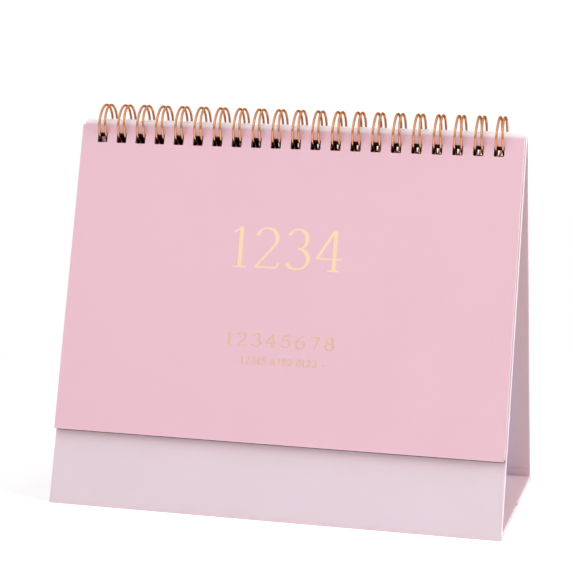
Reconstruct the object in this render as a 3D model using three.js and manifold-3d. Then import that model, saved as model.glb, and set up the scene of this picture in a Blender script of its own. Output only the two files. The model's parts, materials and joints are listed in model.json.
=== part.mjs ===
// Easel desk calendar: a folding tent stand of covered board, a pad of leaves and a twin-loop wire.
// Millimetres, +Z up. The calendar stands on z = 0 and faces -Y, with the origin under its middle.
import * as THREE from 'three';
import { mergeGeometries, mergeVertices } from 'three/addons/utils/BufferGeometryUtils.js';
import Module from 'manifold-3d';

// Driving dimensions of the stand.
const STAND_WIDTH = 189;
const STAND_DEPTH = 94.5;          // outer foot of the front panel to outer foot of the rear one
const PANEL_LENGTH = 163;          // foot to top edge, measured along an outer face
const RIDGE_WIDTH = 5;             // between the outer faces of both panels at their top edges
const BOARD_THICKNESS = 2;         // covered greyboard
const PANEL_CORNER_RADIUS = 1.3;
const FOLD_CLEARANCE = 0.3;        // a base panel's edge to the fold line beside it
const CREASE_WIDTH = 7;            // paper-only stretch between the two base panels

// Driving dimensions of the paper that lines the stand and bridges its folds.
const LINING_THICKNESS = 0.15;
const LINING_SEAT = 0.05;          // lining to the board that it is pasted on
const LINING_SIDE_INSET = 0.5;     // side edge of a panel to the edge of its lining
const LINING_TOP_INSET = 14;       // top edge of a panel to the edge of its lining
const FOLD_PAPER_REACH = 4;        // how far the paper of a fold runs onto each board
const CREASE_PAPER_REACH = 2.5;    // how far the paper of the centre crease runs onto each board
const PAPER_JOINT_GAP = 0.15;      // between two papers that meet edge to edge

// Driving dimensions of the pad of leaves.
const LEAF_SIDE_MARGIN = 9.25;     // side edge of the cover to the middle of its outer holes
const LEAF_TOP_MARGIN = 5.5;       // top edge of a leaf to the middle of its punched holes
const COVER_HEIGHT = 129.5;
const COVER_OVERLAP = 0.6;         // how far the cover reaches past the month leaves behind it
const LEAF_CORNER_RADIUS = 0.9;
const LEAF_THICKNESS = 0.14;
const LEAF_GAP = 0.03;             // air between two leaves
const MONTH_LEAVES = 12;
const COVER_THICKNESS = 0.35;
const PAD_SEAT = 0.3;              // front panel to the last leaf

// Driving dimensions of the twin-loop wire and of its holes. The pitch is three loops to the inch.
const LOOP_COUNT = 21;
const LOOP_PITCH = 25.4 / 3;
const WIRE_DIAMETER = 1;
const LOOP_RADIUS = 8.1;           // to the middle of the wire
const LOOP_CENTRE_DROP = 2;        // ridge of the stand down to the middle of the loops
const LEG_SPACING_AT_ROOT = 2.85;  // between the two legs of one loop, from the spine to the cover
const LEG_SPACING_AT_TIP = 2;      // and over the top of the loop and at its closed tip
const LEG_TAPER_START = 60;        // degrees round the loop where the legs start to draw together
const LEG_TAPER_END = 150;         // and where they stop
const SPINE_ANGLE = 16;            // degrees round the loop from its lowest point to the spine
const SPINE_BEND_RADIUS = 1.2;
const CLOSURE_GAP = 0.8;           // between a closed tip and the line of the spine
const LEAF_HANG = 1.08;            // wire to the middle of the cover's holes, which hang from it
const HOLE_CLEARANCE = 0.2;        // between the wire and the edges of a hole, at its tightest
const BINDING_OFFSET = -0.5;       // the row of loops sits a little left of the stand's middle

// How finely the wire is faceted.
const WIRE_SIDES = 5;
const LEG_STEPS = 16;
const TIP_STEPS = 4;
const BEND_STEPS = 3;
const CORNER_SEGMENTS = 3;

// Colours and finishes.
const coveredBoard = { color: 0xead9e2, roughness: 0.72, metalness: 0 };
const liningPaper = { color: 0xe0ccd6, roughness: 0.85, metalness: 0 };
const coverCard = { color: 0xecc2cf, roughness: 0.6, metalness: 0 };
const leafPaper = { color: 0xf7f3ee, roughness: 0.9, metalness: 0 };
const goldWire = { color: 0xd79a62, roughness: 0.28, metalness: 1 };

const wasm = await Module();
wasm.setup();

const DEGREE = Math.PI / 180;
const MERGE_TOLERANCE = 1e-5;
const calendar = new THREE.Group();

// The tent. Both panels lean at one base angle, and they mirror each other.
const halfDepth = STAND_DEPTH / 2;
const halfWidth = STAND_WIDTH / 2;
const panelAngle = Math.acos((halfDepth - RIDGE_WIDTH / 2) / PANEL_LENGTH);
const rise = Math.sin(panelAngle);
const run = Math.cos(panelAngle);

// A fold line is where a panel's inner face meets the upper face of the base.
const foldInset = (BOARD_THICKNESS + BOARD_THICKNESS * run) / rise;
const foldDistance = halfDepth - foldInset;
const foldAlongPanel = foldInset * run + BOARD_THICKNESS * rise;

// The middle of the loops, as a place along a panel and a depth behind the panel's outer face.
const loopCentreHeight = PANEL_LENGTH * rise - LOOP_CENTRE_DROP;
const centreAlongPanel = halfDepth * run + loopCentreHeight * rise;
const centreBehindPanel = halfDepth * rise - loopCentreHeight * run;

// Where the wire's circle crosses a sheet that stands this far in front of a panel's outer face.
function crossing(offset) {
  const distance = centreBehindPanel + offset;
  return centreAlongPanel - Math.sqrt(LOOP_RADIUS ** 2 - distance ** 2);
}

// The pad, from the front panel outwards.
const leafStep = LEAF_THICKNESS + LEAF_GAP;
const coverOffset = PAD_SEAT + MONTH_LEAVES * leafStep;
const coverMiddle = coverOffset + COVER_THICKNESS / 2;
const leafHoleHeight = crossing(coverMiddle) - LEAF_HANG;
const leafTop = leafHoleHeight + LEAF_TOP_MARGIN;

// The wire passes the cover at a slant, and every hole has room for it there.
const slant = Math.asin((centreBehindPanel + coverMiddle) / LOOP_RADIUS);
const slantedWire = WIRE_DIAMETER / Math.cos(slant) + COVER_THICKNESS * Math.tan(slant);
const holeWidth = LEG_SPACING_AT_ROOT + WIRE_DIAMETER + 2 * HOLE_CLEARANCE;
const holeHeight = 2 * LEAF_HANG + slantedWire + 2 * HOLE_CLEARANCE;

function addPiece(parent, name, geometry, finish) {
  const piece = new THREE.Mesh(geometry, new THREE.MeshStandardMaterial(finish));
  piece.name = name;
  parent.add(piece);
}

// A geometry as a solid that can be cut, and the way back.
function toSolid(geometry) {
  const bare = geometry.clone();
  bare.deleteAttribute('normal');
  bare.deleteAttribute('uv');
  const merged = mergeVertices(bare, MERGE_TOLERANCE);
  const vertProperties = new Float32Array(merged.attributes.position.array);
  const triVerts = new Uint32Array(merged.index.array);
  return new wasm.Manifold(new wasm.Mesh({ numProp: 3, vertProperties, triVerts }));
}

function toGeometry(solid) {
  const mesh = solid.getMesh();
  const geometry = new THREE.BufferGeometry();
  geometry.setAttribute('position', new THREE.BufferAttribute(mesh.vertProperties, mesh.numProp));
  geometry.setIndex(new THREE.BufferAttribute(mesh.triVerts, 1));
  return geometry;
}

// A rectangle whose upper and lower corners can be rounded.
function sheetOutline(x0, x1, y0, y1, upperRadius = 0, lowerRadius = 0) {
  const outline = new THREE.Shape();
  const turnCorner = (x, y, sideX, sideY, radius, start) => {
    if (radius > 0) {
      const centre = [x - sideX * radius, y - sideY * radius];
      outline.absarc(...centre, radius, start, start + Math.PI / 2);
    } else {
      outline.lineTo(x, y);
    }
  };
  outline.moveTo(x0 + lowerRadius, y0);
  turnCorner(x1, y0, 1, -1, lowerRadius, -Math.PI / 2);
  turnCorner(x1, y1, 1, 1, upperRadius, 0);
  turnCorner(x0, y1, -1, 1, upperRadius, Math.PI / 2);
  turnCorner(x0, y0, -1, -1, lowerRadius, Math.PI);
  outline.closePath();
  return outline;
}

function sheet(outline, thickness, base = 0) {
  const settings = { depth: thickness, bevelEnabled: false, curveSegments: CORNER_SEGMENTS };
  return new THREE.ExtrudeGeometry(outline, settings).translate(0, 0, base);
}

function loopX(index) {
  return BINDING_OFFSET + (index - (LOOP_COUNT - 1) / 2) * LOOP_PITCH;
}

// Square punches for the whole row of loops, long enough for any sheet. The rear panel is seen
// from behind, so its row runs the other way.
function punches(height, direction) {
  const length = 4 * BOARD_THICKNESS;
  const bars = [];
  for (let index = 0; index < LOOP_COUNT; index += 1) {
    const bar = new THREE.BoxGeometry(holeWidth, holeHeight, length);
    bars.push(bar.translate(direction * loopX(index), height, 0));
  }
  return toSolid(mergeGeometries(bars));
}

// A panel of the tent in its own frame: x across, y up its outer face, z out of that face.
// Its foot is cut level, so that it stands flat.
function panelBoard(direction) {
  const outline = sheetOutline(-halfWidth, halfWidth, -BOARD_THICKNESS, PANEL_LENGTH, PANEL_CORNER_RADIUS);
  const board = toSolid(sheet(outline, BOARD_THICKNESS, -BOARD_THICKNESS));
  const holes = punches(crossing(-BOARD_THICKNESS / 2), direction);
  const ground = new THREE.BoxGeometry(2 * STAND_WIDTH, STAND_WIDTH, STAND_WIDTH);
  ground.translate(0, 0, -STAND_WIDTH / 2).rotateX(-panelAngle);
  return toGeometry(board.subtract(holes).subtract(toSolid(ground)));
}

function panelLining() {
  const left = -halfWidth + LINING_SIDE_INSET;
  const bottom = foldAlongPanel + FOLD_PAPER_REACH + PAPER_JOINT_GAP;
  const outline = sheetOutline(left, -left, bottom, PANEL_LENGTH - LINING_TOP_INSET);
  return sheet(outline, LINING_THICKNESS, -BOARD_THICKNESS - LINING_SEAT - LINING_THICKNESS);
}

// The base half that belongs to the panel at -Y, flat on the ground.
function baseBoard() {
  const outline = sheetOutline(-halfWidth, halfWidth, -foldDistance + FOLD_CLEARANCE, -CREASE_WIDTH / 2);
  return sheet(outline, BOARD_THICKNESS);
}

function baseLining() {
  const left = -halfWidth + LINING_SIDE_INSET;
  const outer = -foldDistance + FOLD_PAPER_REACH + PAPER_JOINT_GAP;
  const inner = -CREASE_WIDTH / 2 - CREASE_PAPER_REACH - PAPER_JOINT_GAP;
  return sheet(sheetOutline(left, -left, outer, inner), LINING_THICKNESS, BOARD_THICKNESS + LINING_SEAT);
}

// Half of the paper that bridges the centre crease.
function creasePaper() {
  const left = -halfWidth + LINING_SIDE_INSET;
  const outline = sheetOutline(left, -left, -CREASE_WIDTH / 2 - CREASE_PAPER_REACH, -PAPER_JOINT_GAP / 2);
  return sheet(outline, LINING_THICKNESS, BOARD_THICKNESS + LINING_SEAT);
}

// The paper in the corner of a fold: one leg up the panel's inner face, the other along the base.
function foldPaper() {
  const alongPanel = new THREE.Vector2(run, rise);
  const offPanel = new THREE.Vector2(rise, -run);
  const alongBase = new THREE.Vector2(1, 0);
  const offBase = new THREE.Vector2(0, 1);
  const fold = new THREE.Vector2(-foldDistance, BOARD_THICKNESS);
  const bisector = new THREE.Vector2(Math.cos(panelAngle / 2), Math.sin(panelAngle / 2));
  const end = (along, off, depth) =>
    fold.clone().addScaledVector(along, FOLD_PAPER_REACH).addScaledVector(off, depth);
  const corner = (depth) => fold.clone().addScaledVector(bisector, depth / Math.sin(panelAngle / 2));
  const near = LINING_SEAT;
  const far = LINING_SEAT + LINING_THICKNESS;
  const outline = new THREE.Shape([
    end(alongPanel, offPanel, near), corner(near), end(alongBase, offBase, near),
    end(alongBase, offBase, far), corner(far), end(alongPanel, offPanel, far),
  ]);
  const length = STAND_WIDTH - 2 * LINING_SIDE_INSET;
  const acrossStand = new THREE.Matrix4().makeBasis(
    new THREE.Vector3(0, 1, 0), new THREE.Vector3(0, 0, 1), new THREE.Vector3(1, 0, 0));
  return sheet(outline, length, -length / 2).applyMatrix4(acrossStand);
}

// One half of the stand: a panel, half of the base and the paper on them. The rear half is the
// front one turned about the upright axis. Gives back the frame of the panel's outer face.
function addStandHalf(side, turn, direction) {
  const half = new THREE.Group();
  half.rotation.z = turn;
  const panelFrame = new THREE.Group();
  panelFrame.position.y = -halfDepth;
  panelFrame.rotation.x = panelAngle;
  half.add(panelFrame);
  calendar.add(half);
  addPiece(panelFrame, `${side}_panel`, panelBoard(direction), coveredBoard);
  addPiece(panelFrame, `${side}_lining`, panelLining(), liningPaper);
  addPiece(half, `${side}_fold_paper`, foldPaper(), liningPaper);
  addPiece(half, `base_${side}_panel`, baseBoard(), coveredBoard);
  addPiece(half, `base_${side}_lining`, baseLining(), liningPaper);
  addPiece(half, `crease_paper_${side}`, creasePaper(), liningPaper);
  return panelFrame;
}

// A leaf of the pad, in the frame of the front panel, trimmed at its sides and its foot.
function leaf(thickness, offset, trim = 0) {
  const left = loopX(0) - LEAF_SIDE_MARGIN + trim;
  const right = loopX(LOOP_COUNT - 1) + LEAF_SIDE_MARGIN - trim;
  const bottom = leafTop - COVER_HEIGHT + trim;
  const outline = sheetOutline(left, right, bottom, leafTop, LEAF_CORNER_RADIUS, LEAF_CORNER_RADIUS);
  return toGeometry(toSolid(sheet(outline, thickness, offset)).subtract(punches(leafHoleHeight, 1)));
}

function addPad(panelFrame) {
  for (let month = 1; month <= MONTH_LEAVES; month += 1) {
    const offset = PAD_SEAT + (MONTH_LEAVES - month) * leafStep;
    const name = `month_leaf_${String(month).padStart(2, '0')}`;
    addPiece(panelFrame, name, leaf(LEAF_THICKNESS, offset, COVER_OVERLAP), leafPaper);
  }
  addPiece(panelFrame, 'cover_leaf', leaf(COVER_THICKNESS, coverOffset), coverCard);
}

// A path with one extrusion step from each of its points to the next, however far apart they are.
class PointPath extends THREE.Curve {
  constructor(points) {
    super();
    this.points = points;
  }

  getPointAt(u, target = new THREE.Vector3()) {
    return target.copy(this.points[Math.round(u * (this.points.length - 1))]);
  }

  getTangentAt(u, target = new THREE.Vector3()) {
    const last = this.points.length - 1;
    const index = Math.round(u * last);
    const step = (from) => this.points[from + 1].clone().sub(this.points[from]).normalize();
    target.copy(step(Math.max(index - 1, 0)));
    return target.add(step(Math.min(index, last - 1))).normalize();
  }
}

// A point of the wire: x across the stand, and an angle round the loop from its lowest point,
// which goes first to the front, then over the top.
function onLoop(x, angle) {
  const y = -LOOP_RADIUS * Math.sin(angle);
  return new THREE.Vector3(x, y, loopCentreHeight - LOOP_RADIUS * Math.cos(angle));
}

function legSpacing(angle) {
  const drawn = THREE.MathUtils.smoothstep(angle, LEG_TAPER_START * DEGREE, LEG_TAPER_END * DEGREE);
  return THREE.MathUtils.lerp(LEG_SPACING_AT_ROOT, LEG_SPACING_AT_TIP, drawn);
}

const spineAngle = SPINE_ANGLE * DEGREE;
const legStart = spineAngle + SPINE_BEND_RADIUS / LOOP_RADIUS;
const tipAngle = 2 * Math.PI + spineAngle - (WIRE_DIAMETER + CLOSURE_GAP) / LOOP_RADIUS;
const tipRadius = LEG_SPACING_AT_TIP / 2;
const legEnd = tipAngle - tipRadius / LOOP_RADIUS;

// One loop is a hairpin: a leg from the spine to the tip, a half circle, and a leg back.
function hairpin(x) {
  const points = [];
  for (let step = 0; step <= LEG_STEPS; step += 1) {
    const angle = THREE.MathUtils.lerp(legStart, legEnd, step / LEG_STEPS);
    points.push(onLoop(x - legSpacing(angle) / 2, angle));
  }
  for (let step = 1; step < TIP_STEPS; step += 1) {
    const turn = (Math.PI * step) / TIP_STEPS;
    const angle = legEnd + (tipRadius * Math.sin(turn)) / LOOP_RADIUS;
    points.push(onLoop(x - tipRadius * Math.cos(turn), angle));
  }
  for (let step = LEG_STEPS; step >= 0; step -= 1) {
    const angle = THREE.MathUtils.lerp(legStart, legEnd, step / LEG_STEPS);
    points.push(onLoop(x + legSpacing(angle) / 2, angle));
  }
  return points;
}

// A quarter bend from a leg into the spine, on the right of a loop or on its left.
function spineBend(x, side) {
  const points = [];
  const legX = x + (side * legSpacing(legStart)) / 2;
  for (let step = 1; step <= BEND_STEPS; step += 1) {
    const turn = (Math.PI / 2) * (step / BEND_STEPS);
    const angle = spineAngle + (SPINE_BEND_RADIUS * (1 - Math.sin(turn))) / LOOP_RADIUS;
    points.push(onLoop(legX + side * SPINE_BEND_RADIUS * (1 - Math.cos(turn)), angle));
  }
  return points;
}

function wirePoints() {
  const points = [];
  for (let index = 0; index < LOOP_COUNT; index += 1) {
    if (index > 0) points.push(...spineBend(loopX(index), -1).reverse());
    points.push(...hairpin(loopX(index)));
    if (index < LOOP_COUNT - 1) points.push(...spineBend(loopX(index), 1));
  }
  return points;
}

// The least gap of the wire to itself, between points further apart along it than two bends.
function leastWireGap(points) {
  const samples = [];
  let travelled = 0;
  for (let index = 1; index < points.length; index += 1) {
    const length = points[index].distanceTo(points[index - 1]);
    const count = Math.ceil(length / (WIRE_DIAMETER / 4));
    for (let part = 0; part < count; part += 1) {
      const place = points[index - 1].clone().lerp(points[index], part / count);
      samples.push({ place, travelled: travelled + (length * part) / count });
    }
    travelled += length;
  }
  const nearLength = Math.PI * Math.max(tipRadius, SPINE_BEND_RADIUS);
  const window = LOOP_PITCH;
  let least = Infinity;
  for (const [index, first] of samples.entries()) {
    for (const second of samples.slice(index + 1)) {
      if (second.place.x - first.place.x > window) break;
      if (second.travelled - first.travelled < nearLength) continue;
      least = Math.min(least, first.place.distanceTo(second.place));
    }
  }
  return least - WIRE_DIAMETER;
}

function addWire() {
  const points = wirePoints();
  const rim = [];
  for (let side = 0; side < WIRE_SIDES; side += 1) {
    const turn = (2 * Math.PI * side) / WIRE_SIDES;
    rim.push(new THREE.Vector2(Math.cos(turn), Math.sin(turn)).multiplyScalar(WIRE_DIAMETER / 2));
  }
  const section = new THREE.Shape(rim);
  const settings = {
    steps: points.length - 1,
    bevelEnabled: false,
    extrudePath: new PointPath(points),
  };
  addPiece(calendar, 'wire_binding', new THREE.ExtrudeGeometry(section, settings), goldWire);
  console.log(`least gap of the wire to itself: ${leastWireGap(points).toFixed(2)} mm`);
}

const frontFrame = addStandHalf('front', 0, 1);
addStandHalf('rear', Math.PI, -1);
addPad(frontFrame);
addWire();

export default calendar;
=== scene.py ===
"""Easel desk calendar: the looks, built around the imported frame. Metres, +Z up, front towards -Y."""
import json
import math
from contextlib import contextmanager

import bmesh
import bpy
from bpy.props import FloatProperty, IntProperty, PointerProperty, StringProperty
from mathutils import Matrix, Vector


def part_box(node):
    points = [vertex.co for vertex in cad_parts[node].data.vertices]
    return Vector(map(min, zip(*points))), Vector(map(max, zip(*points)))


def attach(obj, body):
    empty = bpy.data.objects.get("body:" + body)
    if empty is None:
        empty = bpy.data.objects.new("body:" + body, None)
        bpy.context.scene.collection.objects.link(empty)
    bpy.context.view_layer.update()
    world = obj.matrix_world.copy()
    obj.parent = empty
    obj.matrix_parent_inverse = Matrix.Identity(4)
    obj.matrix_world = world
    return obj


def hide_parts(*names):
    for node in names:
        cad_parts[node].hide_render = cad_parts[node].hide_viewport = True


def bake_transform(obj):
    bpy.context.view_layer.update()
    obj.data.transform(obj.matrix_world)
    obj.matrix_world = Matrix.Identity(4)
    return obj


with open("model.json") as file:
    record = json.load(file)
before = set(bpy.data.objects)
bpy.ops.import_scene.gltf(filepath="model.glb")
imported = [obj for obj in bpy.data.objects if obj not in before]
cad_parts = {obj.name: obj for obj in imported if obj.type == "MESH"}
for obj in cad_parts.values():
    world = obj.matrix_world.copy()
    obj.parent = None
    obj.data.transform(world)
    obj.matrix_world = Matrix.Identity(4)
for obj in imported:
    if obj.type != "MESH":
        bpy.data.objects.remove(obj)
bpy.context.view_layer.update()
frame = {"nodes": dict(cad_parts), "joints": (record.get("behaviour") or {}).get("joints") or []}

bl_info = {
    "name": "Easel desk calendar",
    "version": (1, 0, 0),
    "blender": (4, 5, 0),
    "location": "View3D > Sidebar > Calendar",
    "description": "Builds a tent desk calendar",
    "category": "Object",
}

MM = 0.001
MERGE_DISTANCE = 0.001 * MM

# What the frame gives: the stand's outer size, the fold lines, the middle of the wire's loops and
# where the linings end.
panel_low, panel_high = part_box("front_panel")
cover_low, cover_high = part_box("cover_leaf")
half_depth = -panel_low.y
stand_width = panel_high.x - panel_low.x
binding_x = (cover_low.x + cover_high.x) / 2
lining_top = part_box("front_lining")[1].z
joint_place = {joint["name"]: Vector(joint["pos_m"]) for joint in frame["joints"]}
loop_centre = joint_place["months_turn"]
month_names = sorted(n for n in frame["nodes"] if n.startswith("month_leaf_"))


def size_in_mm(name, default, description):
    return FloatProperty(name=name, default=default * MM, unit="LENGTH", description=description)


def angle_in_degrees(name, default, description):
    return FloatProperty(name=name, default=math.radians(default), subtype="ANGLE", description=description)


def finish_colour(name, default, description):
    return StringProperty(name=name, default=default, description=description)


class CalendarSizes(bpy.types.PropertyGroup):
    """Real sizes of the calendar's pieces."""

    ridge_width: size_in_mm("Ridge width", 5.0, "Between the panels' outer faces at their top edges")
    board_thickness: size_in_mm("Board thickness", 2.0, "Greyboard with its printed paper")
    board_corner: size_in_mm("Board corner radius", 2.0, "Upper corners of both panels")
    board_edge: size_in_mm("Board edge radius", 0.4, "How softly paper turns round an edge")
    turn_in: size_in_mm("Side turn-in", 7.0, "Outer paper turned over the inner face")
    paper_thickness: size_in_mm("Fold paper thickness", 0.15, "Paper over the folds at the foot")
    paper_seat: size_in_mm("Fold paper seat", 0.05, "Between fold paper and boards")
    leaf_thickness: size_in_mm("Leaf thickness", 0.14, "Offset paper of a month leaf")
    cover_thickness: size_in_mm("Cover thickness", 0.35, "Art card of the cover")
    cover_overhang: size_in_mm("Cover overhang", 0.6, "How far the cover runs out at its right side")
    # The last leaf runs below the cover, and its dark foot shows as a painted shadow line.
    last_leaf_drop: size_in_mm("Drop of the last leaf", 0.8, "How far its foot runs below the others")
    leaf_corner: size_in_mm("Leaf corner radius", 0.4, "Corners of cover and leaves")
    leaf_hole_margin: size_in_mm("Hole margin", 5.5, "Top edge of a leaf to the middle of its holes")
    hole_width: size_in_mm("Hole width", 4.25, "Across one punched hole")
    hole_height: size_in_mm("Hole height", 4.236, "Up one punched hole")
    hole_corner: size_in_mm("Hole corner radius", 0.4, "Corners of a punched hole")
    loop_count: IntProperty(name="Loops", default=21, description="Twin loops along the ridge")
    loop_pitch: size_in_mm("Loop pitch", 25.4 / 3, "Three loops to the inch")
    loop_radius: size_in_mm("Loop radius", 8.1, "To the middle of the wire")
    wire_diameter: size_in_mm("Wire diameter", 1.0, "Coated steel wire")
    root_spacing: size_in_mm("Leg spacing at the root", 2.85, "Between two legs, from spine to cover")
    tip_spacing: size_in_mm("Leg spacing at the tip", 2.0, "Between two legs, at the top and the tip")
    taper_start: angle_in_degrees("Start of the taper", 60, "Where the legs start to draw together")
    taper_end: angle_in_degrees("End of the taper", 150, "Where the legs stop drawing together")
    spine_angle: angle_in_degrees("Spine angle", 16, "From the lowest point of the loop to the spine")
    spine_bend: size_in_mm("Spine bend radius", 1.2, "Where a leg turns into the spine")
    closure_gap: size_in_mm("Closure gap", 0.8, "Between a closed tip and the spine")
    foil_thickness: size_in_mm("Foil thickness", 0.02, "How far foil stands off the cover")


class CalendarColours(bpy.types.PropertyGroup):
    """Colours of the calendar's finishes, as sRGB hex."""

    cover: finish_colour("Cover card", "EABFCC", "Rose print under matt film")
    card_core: finish_colour("Cut card edge", "F4DCE2", "White pulp under the print")
    # Painted shade: the pad's hole walls are white paper, coloured near-black for the shade inside the
    # holes.
    punched: finish_colour("Punched edge", "34190F", "Walls of the holes in the pad")
    board: finish_colour("Covered board", "E3D1DA", "Pale lilac-pink printed paper")
    # Pinker towards the foot of the board.
    foot: finish_colour("Foot of the board", "E5CED7", "Where the paper is glued round")
    # Painted warm shade: the board pinker from just below the pad's foot upwards.
    kept: finish_colour("Kept print", "E7CED6", "The board where the pad covers it")
    # Painted highlight along the board's top edge.
    rubbed: finish_colour("Rubbed top edge", "FFF6FA", "The board's worn top edge")
    # Painted highlight along the board's side edges.
    side: finish_colour("Side edge", "F8E4EC", "The board's paper at its side edges")
    # Greyboard, darkened to near-black as painted shade in and round the holes and at the tent's narrow
    # top.
    core: finish_colour("Greyboard", "24100C", "Board core, in and round the holes")
    lining: finish_colour("Lining paper", "E7D4E3", "Uncoated paper inside the stand")
    # Painted warm light on the lining by its open side edges.
    faded: finish_colour("Faded lining", "E8CFD1", "The lining by its open side edges")
    leaf: finish_colour("Leaf paper", "F6F1EE", "Uncoated white offset paper")
    # Painted shadow: the last leaf's dark foot stands for the shadow line under the cover.
    printed_foot: finish_colour("Printed foot", "3E2426", "Dark foot of the last leaf")
    ink: finish_colour("Printing ink", "8C7078", "Figures of the month leaves")
    wire: finish_colour("Wire", "EFB48A", "Rose-gold coating of the wire")
    worn_wire: finish_colour("Worn wire", "DE9A6C", "The coating where it has worn")
    wire_edge: finish_colour("Wire edge", "C08050", "The coating seen at a slant")
    foil: finish_colour("Foil", "FEDDB8", "Pale gold hot foil")
    faint_foil: finish_colour("Fine foil", "F3C9A9", "Foil of the small figures")
    floor: finish_colour("Floor", "F4F4F4", "Seamless white paper")


def sizes():
    return bpy.context.scene.calendar_sizes


def colours():
    return bpy.context.scene.calendar_colours


def linear(hex_colour):
    """An sRGB hex colour as linear red, green, blue and alpha."""
    channels = [int(hex_colour[i:i + 2], 16) / 255 for i in (0, 2, 4)]
    return (*(c / 12.92 if c <= 0.04045 else ((c + 0.055) / 1.055) ** 2.4 for c in channels), 1.0)


def feed(tree, node, inputs):
    """Each input takes a socket, a node by its first output, a list of such nodes, or a plain value."""
    for name, sources in inputs.items():
        for source in sources if isinstance(sources, list) else [sources]:
            if isinstance(source, bpy.types.Node):
                source = source.outputs[0]
            if isinstance(source, bpy.types.NodeSocket):
                tree.links.new(source, node.inputs[name])
            else:
                node.inputs[name].default_value = source


def add_node(tree, kind, inputs=None, **settings):
    """Adds a node with its settings and its inputs."""
    node = tree.nodes.new(kind)
    for name, value in settings.items():
        setattr(node, name, value)
    feed(tree, node, inputs or {})
    return node


# Where things lie. Both panels lean at one angle, and the rear one mirrors the front one.

def lean():
    """Unit steps along -Y to +Y and up for one unit along the front panel: its run and its rise."""
    angle = math.atan2(panel_high.z, half_depth - sizes().ridge_width / 2)
    return math.cos(angle), math.sin(angle)


def sheet_matrix(x, y, z):
    """Stands a flat sheet up against the front panel: its Y goes up the panel and its Z outwards."""
    run, rise = lean()
    return Matrix(((1, 0, 0, x), (0, run, -rise, y), (0, rise, run, z), (0, 0, 0, 1)))


def half_turn(side):
    """The rear half of the stand is the front one turned about the upright axis."""
    return Matrix.Rotation(math.pi, 4, "Z") if side == "rear" else Matrix()


def crossing(offset):
    """How far up the front panel the wire's circle crosses a sheet this far outside the panel."""
    run, rise = lean()
    from_foot = loop_centre - Vector((0, -half_depth, 0))
    along = from_foot.y * run + from_foot.z * rise
    behind = from_foot.y * rise - from_foot.z * run
    return along - math.sqrt(sizes().loop_radius ** 2 - (behind + offset) ** 2)


# Finishes. Each is named for the real one, and its pattern is sized in millimetres.

def new_material(name):
    made = bpy.data.materials.new(name)
    made.use_nodes = True
    shader = made.node_tree.nodes["Principled BSDF"]
    return made, made.node_tree, shader


def blend_colour(tree, factor, first, second):
    """One colour turning into another, each a hex value, a plain colour or the output of a node."""
    inputs = {"Factor": factor}
    for name, colour in (("A", first), ("B", second)):
        inputs[name] = linear(colour) if isinstance(colour, str) else colour
    return add_node(tree, "ShaderNodeMix", inputs, data_type="RGBA").outputs["Result"]


def object_place(tree, axis):
    """One coordinate of the point that is shaded, in the calendar's own frame."""
    place = add_node(tree, "ShaderNodeTexCoord").outputs["Object"]
    return add_node(tree, "ShaderNodeSeparateXYZ", {0: place}).outputs[axis]


def smooth_step(tree, value, start, end):
    """Rises softly from 0 to 1 while the value goes from start to end."""
    return add_node(tree, "ShaderNodeMapRange", {"Value": value, "From Min": start, "From Max": end},
                    interpolation_type="SMOOTHSTEP")


def paper(name, hex_colour, mottle_mm, fibre_mm, relief_mm, roughness, contrast):
    """Paper or card: a faint uneven tone from its pulp or print, and fine fibres that catch light."""
    made, tree, shader = new_material(name)
    place = add_node(tree, "ShaderNodeTexCoord").outputs["Object"]
    mottle = add_node(tree, "ShaderNodeTexNoise",
                      {"Vector": place, "Scale": 1 / (mottle_mm * MM), "Detail": 4.0})
    fibres = add_node(tree, "ShaderNodeTexNoise",
                      {"Vector": place, "Scale": 1 / (fibre_mm * MM), "Detail": 3.0, "Distortion": 0.6})
    colour = linear(hex_colour)[:3]
    dark, light = ((*(min(1.0, c * level) for c in colour), 1.0) for level in (1 - contrast, 1 + contrast))
    tone = blend_colour(tree, mottle, dark, light)
    bump = add_node(tree, "ShaderNodeBump",
                    {"Height": fibres, "Strength": 0.35, "Distance": relief_mm * MM})
    feed(tree, shader, {"Base Color": tone, "Normal": bump, "Roughness": roughness})
    return made


def recolour(made, factor, colour):
    """Lays a second colour over a paper's tone where the factor says."""
    tree = made.node_tree
    base = tree.nodes["Principled BSDF"].inputs["Base Color"]
    tree.links.new(blend_colour(tree, factor, base.links[0].from_socket, colour), base)


def torn_fibres(name, hex_colour, **look):
    """A paper's inside, where it was torn by a punch: it doesn't shine."""
    made = paper(name, hex_colour, fibre_mm=0.3, **look)
    made.node_tree.nodes["Principled BSDF"].inputs["Specular IOR Level"].default_value = 0.0
    return made


def art_card():
    """Printed art card under matt film: an even rose tone with a very soft, wide sheen."""
    return paper("Matt_laminated_art_card", colours().cover, mottle_mm=34, fibre_mm=0.35, relief_mm=0.02,
                 roughness=0.55, contrast=0.02)


def card_core():
    """Cut edge of the card, where the white pulp shows under the print."""
    return paper("Cut_card_edge", colours().card_core, mottle_mm=6, fibre_mm=0.3, relief_mm=0.02,
                 roughness=0.8, contrast=0.04)


def punched_edge():
    """Wall of a hole in the pad, coloured near-black as painted shade inside the hole."""
    return torn_fibres("Punched_paper_edge", colours().punched, mottle_mm=1.2, relief_mm=0.03,
                       roughness=0.85, contrast=0.2)


def greyboard():
    """Core of the board, seen inside a punched hole and behind the wire: rough recycled pulp, darkened to
    near-black as painted shade inside the holes and at the tent's narrow top.
    """
    return torn_fibres("Punched_greyboard_core", colours().core, mottle_mm=1.5, relief_mm=0.05,
                       roughness=0.9, contrast=0.3)


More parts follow.
